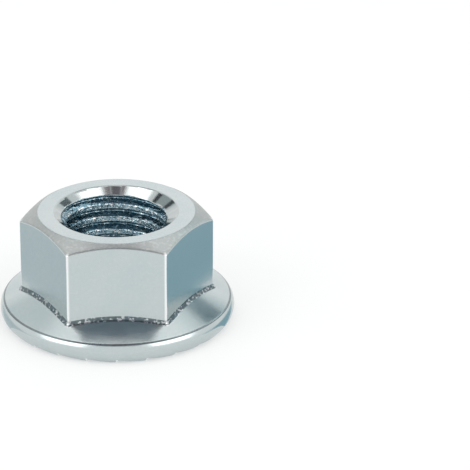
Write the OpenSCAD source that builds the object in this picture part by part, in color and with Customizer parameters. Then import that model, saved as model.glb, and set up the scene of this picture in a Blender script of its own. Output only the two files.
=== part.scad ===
// Serrated hex flange nut, forged and tapped in one piece. Millimetres, +Z up, origin on the
// thread axis in the plane that the serrations bear on. One flat of the hexagon faces -Y.

/* [Hexagon] */
// Width across the flats
across_flats = 14.9; // [14:0.1:15.5]
// Overall height, from the bearing plane to the top
nut_h = 10; // [8:0.1:12]
// Width of the rounded strip along each vertical edge
edge_strip = 0.25; // [0.05:0.05:0.6]
// Diameter of the flat top inside the chamfer
top_land_d = 13.94; // [13:0.02:14.4]
// Slope of the chamfer that rounds off the six top corners
chamfer_angle = 30; // [15:1:40]

/* [Flange] */
// Diameter over the rim
flange_d = 20.9; // [20.3:0.1:21.8]
// Radius of the rolled rim
rim_r = 1.15; // [0.9:0.05:1.35]
// Diameter of the bearing face, where the rim rolls onto it
foot_d = 19.74; // [19.2:0.02:20]
// Diameter of the crease where the skirt runs out over the rim
crease_d = 20.24; // [19.8:0.02:20.26]
// Slope of the skirt
skirt_angle = 24; // [18:1:28]
// Radius of the fillet between a flat of the hexagon and the skirt
fillet_r = 0.42; // [0.2:0.02:0.6]

/* [Thread] */
// Nominal diameter of the screw thread
thread_d = 10; // [9.6:0.1:10.2]
// Pitch of the screw thread
pitch = 1.25; // [1:0.25:1.5]
// Play of the tapped crests over the thread's basic bore
bore_play = 0.15; // [0:0.05:0.25]
// Diameter of the countersink mouth in the top
top_mouth_d = 11.1; // [10.6:0.1:12]
// Diameter of the countersink mouth in the bearing face
foot_mouth_d = 12.2; // [11:0.1:12.8]
// Angle between opposite walls of the countersink in the top
top_mouth_angle = 120; // [90:5:130]
// Angle between opposite walls of the countersink in the bearing face
foot_mouth_angle = 90; // [80:5:120]

/* [Serrations] */
// Number of teeth round the bearing face
tooth_count = 24; // [18:1:30]
// Radius of the arc that each tooth's edge follows
tooth_r = 4.28; // [3.8:0.04:5]
// Diameter that the inner ends of the teeth reach
tooth_inner_d = 13.92; // [13.4:0.02:14.4]
// Slope of each tooth's face
tooth_tilt = 7.7; // [6:0.1:9]
// Turn of that slope towards the bore, away from the tangent
tooth_turn = 15; // [5:1:20]
// Width of the flat worn along each crest at its outer end
crest_flat = 0.15; // [0.05:0.05:0.3]
// Depth of the plain ring between the teeth and the bore
ring_depth = 0.42; // [0.4:0.02:0.6]

/* [Hidden] */
$fn = 96;

// A triangular thread's bore is narrower than its nominal size by this many pitches
BORE_PER_PITCH = 1.0825;
// Length by which a cutter or a joined solid runs past the surface that it meets
past = 0.5;
// Share of its radius at which a fillet's centre stands off, so that its arc crosses both walls
FILLET_STAND_OFF = 0.985;
// Angle round the axis over which one flat's fillet runs, just short of the edges beside it
FILLET_SPAN = 58;

hex_apothem = across_flats / 2;
hex_side = across_flats * tan(30);
// Half of a flat's length that stays flat beside the rounded strips
half_flat = hex_side / 2 - edge_strip / (2 * sin(60));
corner_r = sqrt(hex_apothem ^ 2 + half_flat ^ 2);

// The rim is an arc from the bearing plane round to the crease
foot_r = foot_d / 2;
rim_centre_r = flange_d / 2 - rim_r;
rim_centre_z = sqrt(rim_r ^ 2 - (foot_r - rim_centre_r) ^ 2);
crease_r = crease_d / 2;
crease_z = rim_centre_z + sqrt(rim_r ^ 2 - (crease_r - rim_centre_r) ^ 2);

bore_r = (thread_d - BORE_PER_PITCH * pitch + bore_play) / 2;

// The edge of a tooth is an arc through its outer end, where the rim rolls onto the bearing face
tooth_centre_r = tooth_inner_d / 2 + tooth_r;
tooth_centre_angle = acos(
    (tooth_centre_r ^ 2 + foot_r ^ 2 - tooth_r ^ 2) / (2 * tooth_centre_r * foot_r));

// Height of the skirt's cone at a distance r from the axis
function skirt_z(r) = crease_z + tan(skirt_angle) * (crease_r - r);

// The flange's outline: a core that ends inside the rim's disc, both cut off by the skirt and by
// the bearing plane
module flange_outline() {
    skirt_foot_r = crease_r + crease_z / tan(skirt_angle);
    intersection() {
        union() {
            square([(rim_centre_r + crease_r) / 2, nut_h]);
            translate([rim_centre_r, rim_centre_z]) circle(rim_r);
        }
        polygon([[0, 0], [skirt_foot_r, 0], [0, skirt_z(0)]]);
    }
}

// The hexagon's turned outline: rounded vertical edges, and a chamfer down to the top corners
module hexagon_outline() {
    corner_drop = (corner_r - top_land_d / 2) * tan(chamfer_angle);
    polygon([[0, 0], [corner_r, 0], [corner_r, nut_h - corner_drop],
             [top_land_d / 2, nut_h], [0, nut_h]]);
}

module hexagon() {
    intersection() {
        translate([0, 0, ring_depth])
            cylinder(r = hex_apothem / cos(30), h = nut_h, $fn = 6);
        rotate_extrude() hexagon_outline();
    }
}

// Section of a fillet, for a turn about an axis across the flat: x away from that axis, and y
// out of the flat. The skirt meets the flat at x = arch_r.
module fillet_section(arch_r) {
    centre = [arch_r, 0] + fillet_r * FILLET_STAND_OFF
        * [(1 - sin(skirt_angle)) / cos(skirt_angle), 1];
    under_skirt = centre - (fillet_r + past) * [cos(skirt_angle), sin(skirt_angle)];
    difference() {
        polygon([[centre[0], -past], centre, under_skirt, [under_skirt[0], -past]]);
        translate(centre) circle(fillet_r);
    }
}

// The skirt meets each flat along a shallow arch, higher in the middle than at its ends, and the
// fillet follows that arch
module fillet() {
    arch_top = skirt_z(hex_apothem);
    arch_rise = arch_top - skirt_z(hex_apothem / cos(30));
    arch_r = ((hex_side / 2) ^ 2 + arch_rise ^ 2) / (2 * arch_rise);
    reach = hex_apothem + 2 * fillet_r;
    half_width = reach * tan(FILLET_SPAN / 2);
    intersection() {
        translate([0, -hex_apothem, arch_top - arch_r])
            rotate([90, 0, 0]) rotate_extrude() fillet_section(arch_r);
        linear_extrude(nut_h)
            polygon([[0, 0], [-half_width, -reach], [half_width, -reach]]);
    }
}

// One serration: a flat disc that leans on its leading edge, which the next disc leaves bare
module tooth() {
    translate([foot_r, 0, -crest_flat * sin(tooth_tilt)])
        rotate(tooth_turn) rotate([-tooth_tilt, 0, 0]) rotate(-tooth_turn)
            translate([-foot_r, 0, 0])
                rotate(-tooth_centre_angle)
                    translate([tooth_centre_r, 0, 0])
                        cylinder(r = tooth_r, h = ring_depth + past);
}

module flange() {
    intersection() {
        rotate_extrude() flange_outline();
        union() {
            translate([0, 0, ring_depth]) cylinder(d = flange_d + past, h = nut_h);
            for (i = [0 : tooth_count - 1])
                rotate(i * 360 / tooth_count) tooth();
        }
    }
}

// A countersink whose mouth lies in the plane z = 0 and opens upwards
module countersink(mouth_d, mouth_angle) {
    wall_slope = tan(mouth_angle / 2);
    depth = (mouth_d / 2 - bore_r) / wall_slope;
    translate([0, 0, -depth])
        cylinder(r1 = bore_r, r2 = mouth_d / 2 + past * wall_slope, h = depth + past);
}

module bore() {
    translate([0, 0, -past]) cylinder(r = bore_r, h = nut_h + 2 * past);
    translate([0, 0, nut_h]) countersink(top_mouth_d, top_mouth_angle);
    mirror([0, 0, 1]) countersink(foot_mouth_d, foot_mouth_angle);
}

module flange_nut() {
    color("lightsteelblue") difference() {
        union() {
            flange();
            hexagon();
            for (flat = [0 : 5])
                rotate(flat * 60) fillet();
        }
        bore();
    }
}

flange_nut();
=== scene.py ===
import math

import bmesh
import bpy
from mathutils import Matrix, Vector


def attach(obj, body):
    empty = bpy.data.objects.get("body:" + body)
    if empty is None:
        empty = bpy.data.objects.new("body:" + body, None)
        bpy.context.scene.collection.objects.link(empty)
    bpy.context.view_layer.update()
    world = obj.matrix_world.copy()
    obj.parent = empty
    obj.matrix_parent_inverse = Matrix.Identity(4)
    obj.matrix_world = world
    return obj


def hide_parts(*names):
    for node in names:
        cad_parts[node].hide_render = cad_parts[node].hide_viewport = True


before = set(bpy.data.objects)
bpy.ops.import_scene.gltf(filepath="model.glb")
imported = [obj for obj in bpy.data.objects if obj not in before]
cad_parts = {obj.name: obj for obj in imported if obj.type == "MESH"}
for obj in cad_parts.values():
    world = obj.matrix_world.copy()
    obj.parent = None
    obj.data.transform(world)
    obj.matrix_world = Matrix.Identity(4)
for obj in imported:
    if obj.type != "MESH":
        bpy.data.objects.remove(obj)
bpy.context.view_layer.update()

# The camera. The nut stands left of the picture's middle, as it does in the photograph, and is seen
# from about 26 degrees above its flange, with one flat of the hexagon to the front.
IMAGE_SIZE = 470
FOCAL_PIXELS = 3200
camera_distance = 0.2873
camera_azimuth = math.radians(0.4)
camera_elevation = math.radians(26.15)
camera_roll = math.radians(-0.8)
nut_in_image = (117.7, 312.2)

camera_data = bpy.data.cameras.new("camera")
camera_data.sensor_width = 36
camera_data.lens = FOCAL_PIXELS / IMAGE_SIZE * camera_data.sensor_width
camera_data.clip_start = 0.01
camera = bpy.data.objects.new("camera", camera_data)
bpy.context.scene.collection.objects.link(camera)
bpy.context.scene.camera = camera
to_camera = Vector((
    math.sin(camera_azimuth) * math.cos(camera_elevation),
    -math.cos(camera_azimuth) * math.cos(camera_elevation),
    math.sin(camera_elevation)))
turn_right = math.atan((IMAGE_SIZE / 2 - nut_in_image[0]) / FOCAL_PIXELS)
turn_up = math.atan((nut_in_image[1] - IMAGE_SIZE / 2) / FOCAL_PIXELS)
camera.matrix_world = (
    Matrix.Translation(to_camera * camera_distance)
    @ to_camera.to_track_quat("Z", "Y").to_matrix().to_4x4()
    @ Matrix.Rotation(camera_roll, 4, "Z")
    @ Matrix.Rotation(-turn_right, 4, "Y")
    @ Matrix.Rotation(turn_up, 4, "X"))

# The studio: a white sweep in a white room, two strip lights over the nut, a soft box low on
# either side, and cards that give the plating something to mirror and are seen only in it.
scene = bpy.context.scene
scene.view_settings.view_transform = "Standard"

world = bpy.data.worlds.new("white room")
scene.world = world
world.use_nodes = True
world.node_tree.nodes["Background"].inputs["Color"].default_value = (1.0, 1.0, 1.0, 1)
world.node_tree.nodes["Background"].inputs["Strength"].default_value = 1.0

floor_mesh = bpy.data.meshes.new("floor")
bm = bmesh.new()
bmesh.ops.create_grid(bm, x_segments=1, y_segments=1, size=2.0)
bm.to_mesh(floor_mesh)
bm.free()
floor = bpy.data.objects.new("floor", floor_mesh)
scene.collection.objects.link(floor)
paper = bpy.data.materials.new("white paper")
paper.use_nodes = True
nodes, links = paper.node_tree.nodes, paper.node_tree.links
nodes.clear()
matt = nodes.new("ShaderNodeBsdfDiffuse")
matt.inputs["Color"].default_value = (0.84, 0.85, 0.85, 1)
glow = nodes.new("ShaderNodeEmission")
glow.inputs["Color"].default_value = (1.0, 1.0, 1.0, 1)
glow.inputs["Strength"].default_value = 1.0
# Where the camera, metal or glass sees the paper, half of its light is its own, so that it looks
# white and keeps the nut's shadow. Everything else sees plain matt paper.
own_light = 0.5
path = nodes.new("ShaderNodeLightPath")
seen = path.outputs["Is Camera Ray"]
for name in ("Is Glossy Ray", "Is Transmission Ray"):
    either = nodes.new("ShaderNodeMath")
    either.operation = "MAXIMUM"
    links.new(seen, either.inputs[0])
    links.new(path.outputs[name], either.inputs[1])
    seen = either.outputs[0]
share = nodes.new("ShaderNodeMath")
share.operation = "MULTIPLY"
share.inputs[1].default_value = own_light
links.new(seen, share.inputs[0])
sweep = nodes.new("ShaderNodeMixShader")
output = nodes.new("ShaderNodeOutputMaterial")
links.new(share.outputs[0], sweep.inputs["Fac"])
links.new(matt.outputs[0], sweep.inputs[1])
links.new(glow.outputs[0], sweep.inputs[2])
links.new(sweep.outputs[0], output.inputs["Surface"])
floor_mesh.materials.append(paper)


def stand(thing, start, end, away):
    """Stands a lamp or card square to the nut, its length running from one direction to another,
    and returns that length."""
    start, end = Vector(start).normalized(), Vector(end).normalized()
    toward = (start + end).normalized()
    along = (end - start).normalized()
    thing.matrix_world = Matrix.Translation(toward * away) @ Matrix(
        (along, toward.cross(along), toward)).transposed().to_4x4()
    return (end - start).length * away


def add_card(name, colour):
    """A square card, 1 m wide, that only the metal sees."""
    card_mesh = bpy.data.meshes.new(name)
    bm = bmesh.new()
    bmesh.ops.create_grid(bm, x_segments=1, y_segments=1, size=0.5)
    bm.to_mesh(card_mesh)
    bm.free()
    card = bpy.data.objects.new(name, card_mesh)
    scene.collection.objects.link(card)
    for ray in ("camera", "diffuse", "shadow", "transmission"):
        setattr(card, "visible_" + ray, False)
    tint = bpy.data.materials.new(name)
    tint.use_nodes = True
    nodes, links = tint.node_tree.nodes, tint.node_tree.links
    nodes.clear()
    glow = nodes.new("ShaderNodeEmission")
    glow.inputs["Color"].default_value = (*colour, 1)
    output = nodes.new("ShaderNodeOutputMaterial")
    links.new(glow.outputs[0], output.inputs["Surface"])
    card_mesh.materials.append(tint)
    return card


# A lamp's ends are given as directions from the nut, and its width as a share of its distance.
lamp_distance = 0.45
for name, start, end, width, brightness in (
        ("strip over the right", (0.16, 0.05, 0.99), (0.50, 0.36, 0.79), 0.12, 1.8),
        ("strip over the left", (-0.14, 0.06, 0.99), (-0.46, 0.30, 0.835), 0.12, 1.8),
        ("soft box on the left", (-0.42, -0.62, 0.55), (-0.85, -0.15, 0.42), 0.55, 1.5),
        ("soft box on the right", (0.42, -0.62, 0.55), (0.85, -0.15, 0.42), 0.55, 1.5)):
    lamp = bpy.data.lights.new(name, "AREA")
    lamp.shape = "RECTANGLE"
    soft_box = bpy.data.objects.new(name, lamp)
    scene.collection.objects.link(soft_box)
    lamp.size = stand(soft_box, start, end, lamp_distance)
    lamp.size_y = width * lamp_distance
    lamp.energy = brightness * math.pi * lamp.size * lamp.size_y

# The cards are given in the same way, each with its own distance in metres. The near ones stand
# so close that each fills one patch of the countersink or of the flange and no more.
for name, start, end, away, width, colour in (
        ("pale card behind", (-0.45, 0.85, 0.43), (0.45, 0.85, 0.43), 0.42, 0.30,
         (1.13, 1.12, 1.13)),
        ("dark card behind", (-0.25, 0.62, 0.78), (0.25, 0.62, 0.78), 0.41, 0.10,
         (0.10, 0.11, 0.12)),
        ("dull ceiling", (-0.6, -0.12, 0.8), (0.6, -0.12, 0.8), 0.47, 0.62, (0.30, 0.25, 0.27)),
        ("blue card above", (-0.28, -0.33, 0.94), (0.28, -0.33, 0.94), 0.40, 0.26,
         (0.14, 0.21, 0.28)),
        ("dark strip above", (0, -0.03, 1), (0, 0.19, 0.98), 0.40, 0.12, (0.20, 0.18, 0.20)),
        ("grey strip above", (0, -0.03, 1), (0, 0.19, 0.98), 0.41, 0.155, (0.65, 0.65, 0.67)),
        ("dim card in front", (-0.35, -0.60, 0.80), (0.35, -0.60, 0.80), 0.40, 0.20,
         (0.35, 0.38, 0.40)),
        ("near dark card", (0.362, 0.54, 0.76), (0.352, 0.70, 0.62), 0.060, 0.08,
         (0.15, 0.18, 0.20)),
        ("near blue card", (0.525, 0.45, 0.72), (0.555, 0.64, 0.53), 0.060, 0.12,
         (0.05, 0.14, 0.18)),
        ("sky card right", (0.60, 0.40, 0.70), (0.62, 0.68, 0.40), 0.45, 0.22,
         (1.75, 2.05, 2.15)),
        ("pale card left", (-0.38, 0.45, 0.81), (-0.44, 0.80, 0.42), 0.44, 0.16,
         (0.77, 0.82, 0.83)),
        ("rim card left", (-0.77, 0.20, 0.60), (-0.70, 0.65, 0.30), 0.40, 0.13,
         (0.10, 0.11, 0.11)),
        ("rim card right", (0.77, 0.20, 0.60), (0.70, 0.65, 0.30), 0.40, 0.13,
         (0.10, 0.11, 0.11)),
        ("pale card right", (0.38, 0.45, 0.81), (0.44, 0.80, 0.42), 0.44, 0.16,
         (0.84, 0.90, 0.91)),
        ("near black card", (-0.345, 0.425, 0.838), (-0.35, 0.735, 0.58), 0.060, 0.10,
         (0.06, 0.07, 0.08)),
        ("near grey card", (-0.362, 0.488, 0.795), (-0.365, 0.655, 0.66), 0.058, 0.10,
         (0.45, 0.50, 0.51))):
    card = add_card(name, colour)
    length = stand(card, start, end, away)
    card.data.transform(Matrix.Diagonal((length, width * away, 1, 1)))

# Two cards lie just over the floor, a bluish dark one on the right and a pale one on the left.
# The hexagon's side faces mirror them, and take their colours.
floor_card_length = 0.024
above_floor = 0.0006
for name, x, y, width, turn, colour in (
        ("blue floor card", 0.0201, 0.0034, 0.0108, -30, (0.33, 0.505, 0.58)),
        ("pale floor card", -0.0198, 0.0036, 0.0103, 30, (0.66, 0.73, 0.76))):
    card = add_card(name, colour)
    card.data.transform(Matrix.Diagonal((width, floor_card_length, 1, 1)))
    card.matrix_world = Matrix.Translation((x, y, above_floor)) @ Matrix.Rotation(
        math.radians(turn), 4, "Z")

# The serrated bearing face. The forging die presses 24 ramps into the underside of the flange;
# each leads up to a crest, and ends in a steep wall that bites when the nut is turned back.
# All the nut's sizes are in millimetres, and its skin is laid out ring by ring.
TEETH = 24
TOOTH_COLUMNS = 12
COLUMNS = TOOTH_COLUMNS * TEETH
TOOTH_ANGLE = 2 * math.pi / TEETH
foot_r = 9.87
ring_depth = 0.42
ring_outer_r = 6.7
foot_mouth_r = 6.1
foot_roll_out = 0.05
# The edge of a tooth is an arc about a centre at this radius, and this turn past its outer end.
edge_r = 4.28
edge_centre_r = 11.24
edge_centre_turn = math.radians(22.19)
tip_turn = TOOTH_ANGLE / 2 - edge_centre_turn
# A tooth's section: distances along its steep wall, with the share of the height reached there,
# then the flat worn on its crest, which widens towards the bore, and the roll onto that flat.
wall_along = (-0.09, -0.03, 0.0, 0.006, 0.035, 0.11)
wall_rise = (0.0, 0.08, 0.32, 0.76, 0.94, 1.0)
crest_flat = 0.154
crest_flat_spread = 0.268
roll_before_flat = 0.05
roll_onto_flat = 0.02
# Columns painted bright on every tooth, as a highlight line along its edge and on its crest flat.
worn_columns = (0, 1, 2, TOOTH_COLUMNS - 1)
# The plane of a ramp: its rise per millimetre outwards and back from the edge, and how far it is
# sunk under the plane of the crests at the tooth's outer end.
rise_outwards = 0.035
rise_back = 0.1306
sink_at_tip = 0.0201
rings = []
finishes = []


def add_ring(finish, points):
    """One more ring of the skin: a finish, and a (turn, radius, height, painted highlight) per
    column.
    """
    rings.append(points)
    finishes.append(finish)


def between(a, b, share):
    """The value that lies a share of the way from a to b."""
    return a + (b - a) * share


def tooth_end_r(off_centre):
    """Radius at which the round inner end of a tooth lies, at a turn from the end's middle."""
    off_centre = max(-TOOTH_ANGLE / 2, min(TOOTH_ANGLE / 2, off_centre))
    return edge_centre_r * math.cos(off_centre) - math.sqrt(
        edge_r ** 2 - (edge_centre_r * math.sin(off_centre)) ** 2)


def edge_turn(r):
    """Turn of a tooth's edge at radius r, from its outer end at the rim."""
    if r < tooth_end_r(TOOTH_ANGLE / 2):
        return tip_turn
    reach = (r ** 2 + edge_centre_r ** 2 - edge_r ** 2) / (2 * r * edge_centre_r)
    return math.acos(reach) - edge_centre_turn


def tooth_turn(column, r):
    """Turn of a column: six lie close on a tooth's wall, five on its ramp and one on its flat."""
    tooth, step = divmod(column, TOOTH_COLUMNS)
    last_wall = len(wall_along) - 1
    last_ramp = TOOTH_COLUMNS - 2
    flat_start = r * TOOTH_ANGLE - (crest_flat + crest_flat_spread * max(0.0, foot_r - r))
    if step <= last_wall:
        along = wall_along[step]
    elif step <= last_ramp:
        along = between(wall_along[-1], flat_start - roll_before_flat,
                        (step - last_wall) / (last_ramp - last_wall))
    else:
        along = flat_start + roll_onto_flat
    return tooth * TOOTH_ANGLE + edge_turn(r) + along / r


def tooth_point(column, r, face_z=0.0):
    """A point of the serrations. face_z is the height of the plain surface that they cut into."""
    tooth, step = divmod(column, TOOTH_COLUMNS)
    turn = tooth_turn(column, r)
    x = r * math.cos(turn - (tooth + 1) * TOOTH_ANGLE)
    y = r * math.sin(turn - (tooth + 1) * TOOTH_ANGLE)
    ramp_z = max(face_z, rise_outwards * (x - foot_r) - sink_at_tip - rise_back * y)
    rise = wall_rise[step] if step < len(wall_rise) else 1.0
    return turn, r, between(face_z, ramp_z, rise), float(step in worn_columns)


# The plain ring round the bore's mouth. Its columns start evenly spaced and lean over, on the way
# out, to the turns that the teeth's own have at the first of these radii.
ring_lean_r = 7.0
tooth_end_turn_r = 7.1
ring_inner_r = foot_mouth_r - ring_depth + foot_roll_out
for r in (ring_inner_r, 6.0, 6.35, ring_outer_r):
    share = (r - ring_inner_r) / (ring_outer_r - ring_inner_r)
    add_ring("ring", [
        (between(tip_turn + i * TOOTH_ANGLE / TOOTH_COLUMNS, tooth_turn(i, ring_lean_r), share),
         r, ring_depth, 0.0) for i in range(COLUMNS)])
# The step from the ring down to the teeth, along their round inner ends, and then the teeth.
tooth_ends = [
    tooth_end_r(
        tooth_turn(i, tooth_end_turn_r) - (i // TOOTH_COLUMNS + 1) * TOOTH_ANGLE + edge_centre_turn)
    for i in range(COLUMNS)]
for outwards, height in ((-0.07, 1), (-0.02, 0.93), (0, 0.75), (0.01, 0.25), (0.03, 0.06)):
    ring = []
    for i, end_r in enumerate(tooth_ends):
        turn, r, z = tooth_point(i, end_r + outwards)[:3]
        ring.append((turn, r, between(z, ring_depth, height), 0.0))
    add_ring("ring", ring)
for share in (0.03, 0.1, 0.2, 0.32, 0.45, 0.58, 0.7, 0.8, 0.9, 0.96, 1):
    add_ring("serration", [
        tooth_point(i, between(end_r, foot_r, share)) for i, end_r in enumerate(tooth_ends)])

# The flange. The blank's foot is upset into a broad collar, whose rim rolls round from the
# bearing face to a crease, above which a shallow skirt climbs to the hexagon.
rim_r = 1.15
rim_centre_r = 9.3
rim_centre_z = 0.9988
crease_r = 10.12
crease_z = 1.805
crease_roll = 0.09
skirt_slope = math.tan(math.radians(24))
across_flats = 14.9
edge_round = 0.25
fillet_r = 0.42
fillet_arc = math.radians(66)
HEX_COLUMNS = COLUMNS // 6
# Angles up the rim from its widest point: where the serrations' finish ends, where their notches
# run out, and where the roll over the crease starts.
serration_end = -45
last_notch = -34
rim_end = 39.5
# The columns swing over from the teeth's turns, taken at this radius, to the hexagon's: a share of
# the way by the top of the rim, half on the crease, and the rest on the skirt.
rim_column_r = 10.2
rim_swing = 0.48
crease_swing = 0.5
skirt_swing_start = 0.52
skirt_swing_rate = 0.6


def hexagon_turn(column):
    """Turn of a column that is close to its neighbours beside the hexagon's edges."""
    face, step = divmod(column, HEX_COLUMNS)
    near = min(step, HEX_COLUMNS - step)
    by_edge = (0, 0.28, 0.56, 0.84, 1.25)
    last = len(by_edge) - 1
    if near <= last:
        offset = by_edge[near]
    else:
        offset = between(by_edge[-1], 30, (near - last) / (HEX_COLUMNS / 2 - last))
    return math.radians(60 * face + (offset if step == near else 60 - offset))


def hexagon_r(turn, stand_off=0.0):
    """Radius of the hexagon's outline, or of one that stands off from it on every side."""
    apothem = across_flats / 2 + stand_off
    rounding = edge_round + stand_off
    off_flat = (turn % (math.pi / 3)) - math.pi / 6
    centre_r = (apothem - rounding) / math.cos(math.pi / 6)
    if abs(math.tan(off_flat)) * apothem <= centre_r / 2:
        return apothem / math.cos(off_flat)
    off_edge = math.pi / 6 - abs(off_flat)
    return centre_r * math.cos(off_edge) + math.sqrt(
        rounding ** 2 - (centre_r * math.sin(off_edge)) ** 2)


def rim_point(angle):
    """Radius and height of the rolled rim, at an angle in degrees up from its widest point."""
    return (rim_centre_r + rim_r * math.cos(math.radians(angle)),
            rim_centre_z + rim_r * math.sin(math.radians(angle)))


def skirt_z(r):
    """Height of the skirt at radius r."""
    return crease_z + skirt_slope * (crease_r - r)


rim_turns = [tooth_turn(i, rim_column_r) for i in range(COLUMNS)]
hexagon_turns = [hexagon_turn(i) for i in range(COLUMNS)]


def swung_turns(share):
    """The columns' turns, a share of the way from the rim's to the hexagon's."""
    return [between(low, high, share) for low, high in zip(rim_turns, hexagon_turns)]


for angle in (-57, -54, -51, -48, -45, -42, -39, -36.5, last_notch):
    r, z = rim_point(angle)
    add_ring("serration" if angle < serration_end else "forged",
             [tooth_point(i, r, z) for i in range(COLUMNS)])
# The last of the rim's rings and the roll over the crease take the crease finish, which is darkened
# as painted shade.
for angle in (-27, -18, -9, 0, 9, 18, 27, 34, rim_end):
    r, z = rim_point(angle)
    share = rim_swing * (angle - last_notch) / (rim_end - last_notch)
    add_ring("crease" if angle == rim_end else "forged",
             [(turn, r, z, 0.0) for turn in swung_turns(share)])
# The roll over the crease is a curve from the rim's end, towards the corner, to the skirt's end.
skirt_end_r = crease_r - crease_roll
crease_curve = list(zip(
    rim_point(rim_end), (crease_r, crease_z), (skirt_end_r, skirt_z(skirt_end_r))))
for share in (0.25, 0.5, 0.75):
    r, z = [between(between(low, corner, share), between(corner, high, share), share)
            for low, corner, high in crease_curve]
    add_ring("crease", [(turn, r, z, 0.0) for turn in swung_turns(crease_swing)])
fillet_foot = fillet_r * (1 - math.cos(fillet_arc))
for share in (0, 0.06, 0.2, 0.35, 0.5, 0.65, 0.8, 0.9, 0.96):
    ring = []
    for turn in swung_turns(min(1, skirt_swing_start + skirt_swing_rate * share)):
        r = between(skirt_end_r, hexagon_r(turn, fillet_foot), share)
        ring.append((turn, r, skirt_z(r), 0.0))
    add_ring("forged", ring)

# The hexagon. It is forged in one piece with the flange: a small fillet at its foot, six flats
# between rounded edges, and a turned chamfer that cuts its top corners to an arc on each flat.
nut_h = 10
land_r = 6.97
land_roll = 0.05
chamfer_slope = math.tan(math.radians(30))
chamfer_roll = 0.09
FILLET_STEPS = 6
# Share of the edges' painted highlight that reaches onto the fillet.
fillet_edge_highlight = 0.6
# The painted highlight along the upright edges ends this many degrees from them, and fades over
# this many.
highlight_reach = 1.125
highlight_fade = 0.75


def edge_highlight(turn):
    """Share of painted highlight: 1 along the hexagon's upright edges, and 0 on its flats."""
    off_edge = math.pi / 6 - abs((turn % (math.pi / 3)) - math.pi / 6)
    return min(1.0, max(0.0, (highlight_reach - math.degrees(off_edge)) / highlight_fade))


# The fillet's rings take the fillet finish, darkened as painted shade in the corner at the
# hexagon's foot.
for step in range(FILLET_STEPS + 1):
    arc = fillet_arc * (1 - step / FILLET_STEPS)
    out = fillet_r * (1 - math.cos(arc))
    up = fillet_r * (math.tan(fillet_arc / 2) - math.sin(arc)) + out * skirt_slope
    add_ring("fillet" if step < FILLET_STEPS else "forged", [
        (turn, hexagon_r(turn, out), skirt_z(hexagon_r(turn, out)) + up,
         edge_highlight(turn) * fillet_edge_highlight) for turn in hexagon_turns])
fillet_h = fillet_r * math.tan(fillet_arc / 2)
chamfer_z = [nut_h - (hexagon_r(turn) - land_r) * chamfer_slope for turn in hexagon_turns]
for share in (0.02, 0.08, 0.2, 0.35, 0.5, 0.65, 0.8, 0.92, 0.975):
    add_ring("forged", [
        (turn, hexagon_r(turn), between(skirt_z(hexagon_r(turn)) + fillet_h, top, share),
         edge_highlight(turn)) for turn, top in zip(hexagon_turns, chamfer_z)])
for inward, down in ((0, 0.075), (0.012, 0.028), (0.045, -0.002), (chamfer_roll, -0.048)):
    add_ring("chamfer" if inward else "forged", [
        (turn, hexagon_r(turn) - inward, top - down, edge_highlight(turn))
        for turn, top in zip(hexagon_turns, chamfer_z)])
for share in (0.15, 0.5, 0.85):
    ring = []
    for turn in hexagon_turns:
        r = between(hexagon_r(turn) - chamfer_roll, land_r + land_roll, share)
        ring.append((turn, r, nut_h - (r - land_r) * chamfer_slope, 0.0))
    add_ring("chamfer", ring)
for finish, r, down in (("chamfer", land_r + land_roll, 0.029), ("forged", land_r, 0.008),
                        ("forged", land_r - 0.06, 0)):
    add_ring(finish, [(turn, r, nut_h - down, 0.0) for turn in hexagon_turns])

# The top. It is faced flat inside the chamfer, and its inner edge rolls over into the countersink.
# Its columns swing back from the hexagon's turns to evenly spaced ones.
top_mouth_r = 5.55
top_mouth_slope = math.tan(math.radians(60))
for share, r, down in ((0.2, 6.7, 0), (0.5, 6.3, 0), (0.8, 5.95, 0), (1, top_mouth_r + 0.11, 0),
                       (1, top_mouth_r + 0.06, 0.003), (1, top_mouth_r + 0.02, 0.014)):
    add_ring("forged", [
        (between(turn, i * TOOTH_ANGLE / TOOTH_COLUMNS, share), r, nut_h - down, 0.0)
        for i, turn in enumerate(hexagon_turns)])

# The skin is one sheet, rolled round the axis and welded where its two sides meet. Each face takes
# the finish of the ring that it starts from.
nut = bmesh.new()
# Each point carries its share of painted highlight along the edges and the teeth.
worn = nut.verts.layers.float.new("worn")
# The grid runs from -1 to 1, with the columns side by side along x and the rings along y.
bmesh.ops.create_grid(nut, x_segments=COLUMNS, y_segments=len(rings) - 1, size=1)
finish_names = ["forged", "crease", "chamfer", "fillet", "ring", "serration", "cone", "thread",
                "crest"]
for face in nut.faces:
    along = (face.calc_center_median().y + 1) / 2 * (len(rings) - 1)
    face.material_index = finish_names.index(finishes[int(along)])
for v in nut.verts:
    i = round((v.co.x + 1) / 2 * COLUMNS) % COLUMNS
    j = round((v.co.y + 1) / 2 * (len(rings) - 1))
    turn, r, z, v[worn] = rings[j][i]
    v.co = (r * math.cos(turn), r * math.sin(turn), z)
bmesh.ops.remove_doubles(nut, verts=nut.verts, dist=0.0005)

# The tapped bore. A right-hand M10 x 1.25 thread is cut between two countersinks: its profile is
# screwed upwards, widened where a countersink is wider, and cut off at both mouths.
pitch = 1.25
major_r = 5.0
minor_r = 4.398
flank = (major_r - minor_r) * math.tan(math.radians(30))
root = pitch / 8
half_crest = (pitch - root) / 2 - flank
crest_band = 0.06
thread_round = 0.05
top_roll_down = 0.035
foot_roll_up = 0.04
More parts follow.
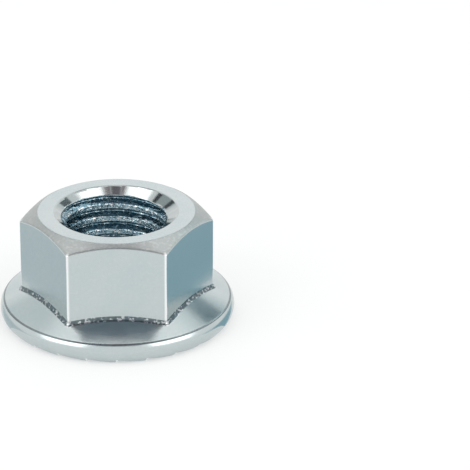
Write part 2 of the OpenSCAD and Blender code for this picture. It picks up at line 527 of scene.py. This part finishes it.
# The profile starts under the nut and ends over it, so that both mouths cut it off.
first_crest_z = -0.6
thread_turns = range(-1, 9)
thread = bmesh.new()
profile = []
for turn in thread_turns:
    for z, r in ((-half_crest, minor_r), (half_crest, minor_r), (half_crest + flank, major_r),
                 (half_crest + flank + root, major_r)):
        profile.append(thread.verts.new((r, 0, first_crest_z + turn * pitch + z)))
for pair in zip(profile, profile[1:]):
    thread.edges.new(pair)
bmesh.ops.bevel(thread, geom=profile[1:-1], offset=thread_round, segments=2, profile=0.5,
                affect="VERTICES", material=-1)
flank_lines = [e for e in thread.edges if e.calc_length() > 2 * half_crest]
bmesh.ops.subdivide_edges(thread, edges=flank_lines, cuts=5)
crest_lines = [e for e in thread.edges if e.calc_length() > half_crest]
bmesh.ops.subdivide_edges(thread, edges=crest_lines, cuts=2)
bmesh.ops.spin(thread, geom=thread.verts[:] + thread.edges[:], cent=(0, 0, 0), axis=(0, 0, 1),
               dvec=(0, 0, pitch / COLUMNS), angle=2 * math.pi, steps=COLUMNS, use_merge=False)
bmesh.ops.remove_doubles(thread, verts=thread.verts, dist=0.002)
on_cone = {}
for v in thread.verts:
    r = math.hypot(v.co.x, v.co.y)
    cone_r = max(foot_mouth_r - v.co.z, top_mouth_r - (nut_h - v.co.z) * top_mouth_slope)
    if cone_r > r:
        v.co.x *= cone_r / r
        v.co.y *= cone_r / r
    on_cone[v] = cone_r >= r
# The thread's faces by the minor radius are its crests, lightened as painted highlight; the rest is
# darkened as painted shade in the bore.
for face in thread.faces:
    centre = face.calc_center_median()
    if all(on_cone[v] for v in face.verts):
        finish = "cone"
    elif math.hypot(centre.x, centre.y) < minor_r + crest_band:
        finish = "crest"
    else:
        finish = "thread"
    face.material_index = finish_names.index(finish)
for height, side in ((nut_h - top_roll_down, 1), (ring_depth + foot_roll_up, -1)):
    bmesh.ops.bisect_plane(
        thread, geom=thread.verts[:] + thread.edges[:] + thread.faces[:], dist=0.00001,
        plane_co=(0, 0, height), plane_no=(0, 0, side), clear_outer=True)
thread_mesh = bpy.data.meshes.new("thread")
thread.to_mesh(thread_mesh)
nut.from_mesh(thread_mesh)
bpy.data.meshes.remove(thread_mesh)
thread.free()
# The skin and the bore are joined at both mouths by the last of each countersink.
open_edges = [e for e in nut.edges if e.is_boundary]
for above in (False, True):
    mouth = [e for e in open_edges if (e.verts[0].co.z > nut_h / 2) == above]
    made = bmesh.ops.bridge_loops(nut, edges=mouth)
    for face in made["faces"]:
        face.material_index = finish_names.index("cone")
bmesh.ops.recalc_face_normals(nut, faces=nut.faces)
metres_per_mm = 0.001
bmesh.ops.scale(nut, vec=(metres_per_mm, metres_per_mm, metres_per_mm), verts=nut.verts)
for face in nut.faces:
    face.smooth = True
nut_mesh = bpy.data.meshes.new("hex flange nut")
nut.to_mesh(nut_mesh)
nut.free()
nut_piece = bpy.data.objects.new("nut", nut_mesh)
scene.collection.objects.link(nut_piece)
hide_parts("flange_nut")
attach(nut_piece, "root")

# The plating. Bright zinc with a faint blue cast, cloudy over forged steel, a mirror where a tool
# has cut the countersinks, and speckled in the thread. Painted shade darkens it along the crease,
# in the fillets, in the recessed ring and in the thread, and painted highlight lightens the
# thread's crests and the lines along the edges and the teeth.
clean_zinc = (0.575, 0.615, 0.605, 1)
blue_zinc = (0.25, 0.43, 0.52, 1)
# The near-white zinc towards which the painted highlights and the flecks lighten the plate.
highlight_and_fleck_zinc = (0.97, 0.98, 0.98, 1)
painted_highlight_strength = 0.85
cloud_roughness = 0.12
finish_group = bpy.data.node_groups.new("zinc finish", "ShaderNodeTree")
for name, default in (("Roughness", 0.2), ("Cloud", 0.3), ("Peel", 0.3), ("Grain", 0.1),
                      ("Tone", 1.0), ("Sparkle", 0.0), ("Lines", 0.0)):
    finish_group.interface.new_socket(
        name, in_out="INPUT", socket_type="NodeSocketFloat").default_value = default
finish_group.interface.new_socket("Color", in_out="OUTPUT", socket_type="NodeSocketColor")
finish_group.interface.new_socket("Roughness", in_out="OUTPUT", socket_type="NodeSocketFloat")
finish_group.interface.new_socket("Normal", in_out="OUTPUT", socket_type="NodeSocketVector")
nodes, links = finish_group.nodes, finish_group.links
given = nodes.new("NodeGroupInput")
result = nodes.new("NodeGroupOutput")
place = nodes.new("ShaderNodeTexCoord")


def noise(scale, detail, roughness=0.5, stretch=(1, 1, 1)):
    """The output of a noise that lies still on the nut."""
    made = nodes.new("ShaderNodeTexNoise")
    made.inputs["Scale"].default_value = scale
    made.inputs["Detail"].default_value = detail
    made.inputs["Roughness"].default_value = roughness
    spread = nodes.new("ShaderNodeMapping")
    spread.inputs["Scale"].default_value = stretch
    links.new(place.outputs["Object"], spread.inputs["Vector"])
    links.new(spread.outputs[0], made.inputs["Vector"])
    return made.outputs["Fac"]


def math_node(operation, a, b):
    """The output of a Math node on two values, each a number or another node's output."""
    made = nodes.new("ShaderNodeMath")
    made.operation = operation
    for socket, value in zip(made.inputs, (a, b)):
        if isinstance(value, (int, float)):
            socket.default_value = value
        else:
            links.new(value, socket)
    return made.outputs[0]


def mix_colour(factor, a, b):
    """The output of a mix of two colours, each a colour or another node's output."""
    made = nodes.new("ShaderNodeMix")
    made.data_type = "RGBA"
    for socket, value in ((made.inputs["Factor"], factor), (made.inputs["A"], a),
                          (made.inputs["B"], b)):
        if isinstance(value, tuple):
            socket.default_value = value
        else:
            links.new(value, socket)
    return made.outputs["Result"]


highlight_attribute = nodes.new("ShaderNodeAttribute")
highlight_attribute.attribute_name = "worn"
cloud = noise(420, 3.0, 0.6)
fine = noise(3900, 1.5, 0.6)
peel = noise(2600, 1.5, 0.5)
grit = noise(2300, 2.0, 0.6, (1, 1, 2))
cut_lines = noise(700, 2.0, 0.6, (1, 1, 6))
cloud_share = math_node("MULTIPLY", math_node("MULTIPLY", cloud, 2.0), given.outputs["Cloud"])
plate = mix_colour(cloud_share, clean_zinc, blue_zinc)
speck = math_node("MULTIPLY", math_node("SUBTRACT", fine, 0.5), given.outputs["Sparkle"])
toned = nodes.new("ShaderNodeHueSaturation")
links.new(math_node("ADD", given.outputs["Tone"], speck), toned.inputs["Value"])
links.new(plate, toned.inputs["Color"])
fleck = nodes.new("ShaderNodeMapRange")
fleck.inputs["From Min"].default_value = 0.55
fleck.inputs["From Max"].default_value = 0.62
links.new(fine, fleck.inputs["Value"])
# The painted highlight along the edges and teeth, or a bright fleck, lightens the plate towards
# white.
bright_share = math_node("MAXIMUM", math_node("MULTIPLY", highlight_attribute.outputs["Fac"], painted_highlight_strength),
                         math_node("MULTIPLY", fleck.outputs[0], given.outputs["Sparkle"]))
links.new(mix_colour(bright_share, toned.outputs["Color"], highlight_and_fleck_zinc),
          result.inputs["Color"])
uneven = math_node("MULTIPLY", math_node("SUBTRACT", cloud, 0.5), cloud_roughness)
links.new(math_node("ADD", given.outputs["Roughness"], uneven), result.inputs["Roughness"])
normal = None
for strength, height, distance in (("Peel", peel, 0.00001), ("Lines", cut_lines, 0.0001),
                                   ("Grain", grit, 0.0002)):
    bump = nodes.new("ShaderNodeBump")
    bump.inputs["Distance"].default_value = distance
    links.new(given.outputs[strength], bump.inputs["Strength"])
    links.new(height, bump.inputs["Height"])
    if normal:
        links.new(normal, bump.inputs["Normal"])
    normal = bump.outputs["Normal"]
links.new(normal, result.inputs["Normal"])

# One material for each finish, in the order in which the faces count them.
for name, roughness, cloud_amount, peel_amount, grain, tone_value, sparkle, line_amount in (
        ("forged", 0.20, 0.15, 0.25, 0.01, 1.0, 0.03, 0.0),
        # The crease is darkened, as painted shade, to a dark line between the skirt and the rim.
        ("crease", 0.26, 0.30, 0.25, 0.01, 0.48, 0.05, 0.0),
        ("chamfer", 0.38, 0.0, 0.20, 0.04, 0.74, 0.09, 0.0),
        # The fillets are darkened as painted shade in the corner at the hexagon's foot.
        ("fillet", 0.34, 0.60, 0.60, 0.10, 0.33, 0.48, 0.0),
        # The recessed ring round the bore is darkened as painted shade.
        ("ring", 0.30, 0.60, 0.30, 0.02, 0.7, 0.1, 0.0),
        ("serration", 0.28, 0.50, 0.30, 0.02, 0.95, 0.05, 0.0),
        ("cone", 0.10, 0.05, 0.05, 0.0, 0.88, 0.0, 0.0),
        # The thread's roots and flanks are darkened as painted shade deep in the bore.
        ("thread", 0.20, 1.0, 0.30, 0.35, 0.75, 0.5, 1.0),
        # The thread's crests are lightened as painted highlight.
        ("crest", 0.10, 0.65, 0.20, 0.80, 1.15, 1.0, 0.4)):
    zinc = bpy.data.materials.new("zinc plate, " + name)
    zinc.use_nodes = True
    nodes, links = zinc.node_tree.nodes, zinc.node_tree.links
    metal = nodes["Principled BSDF"]
    metal.inputs["Metallic"].default_value = 1.0
    surface = nodes.new("ShaderNodeGroup")
    surface.node_tree = finish_group
    for socket, value in (("Roughness", roughness), ("Cloud", cloud_amount),
                          ("Peel", peel_amount), ("Grain", grain), ("Tone", tone_value),
                          ("Sparkle", sparkle), ("Lines", line_amount)):
        surface.inputs[socket].default_value = value
    links.new(surface.outputs["Color"], metal.inputs["Base Color"])
    links.new(surface.outputs["Roughness"], metal.inputs["Roughness"])
    links.new(surface.outputs["Normal"], metal.inputs["Normal"])
    nut_mesh.materials.append(zinc)
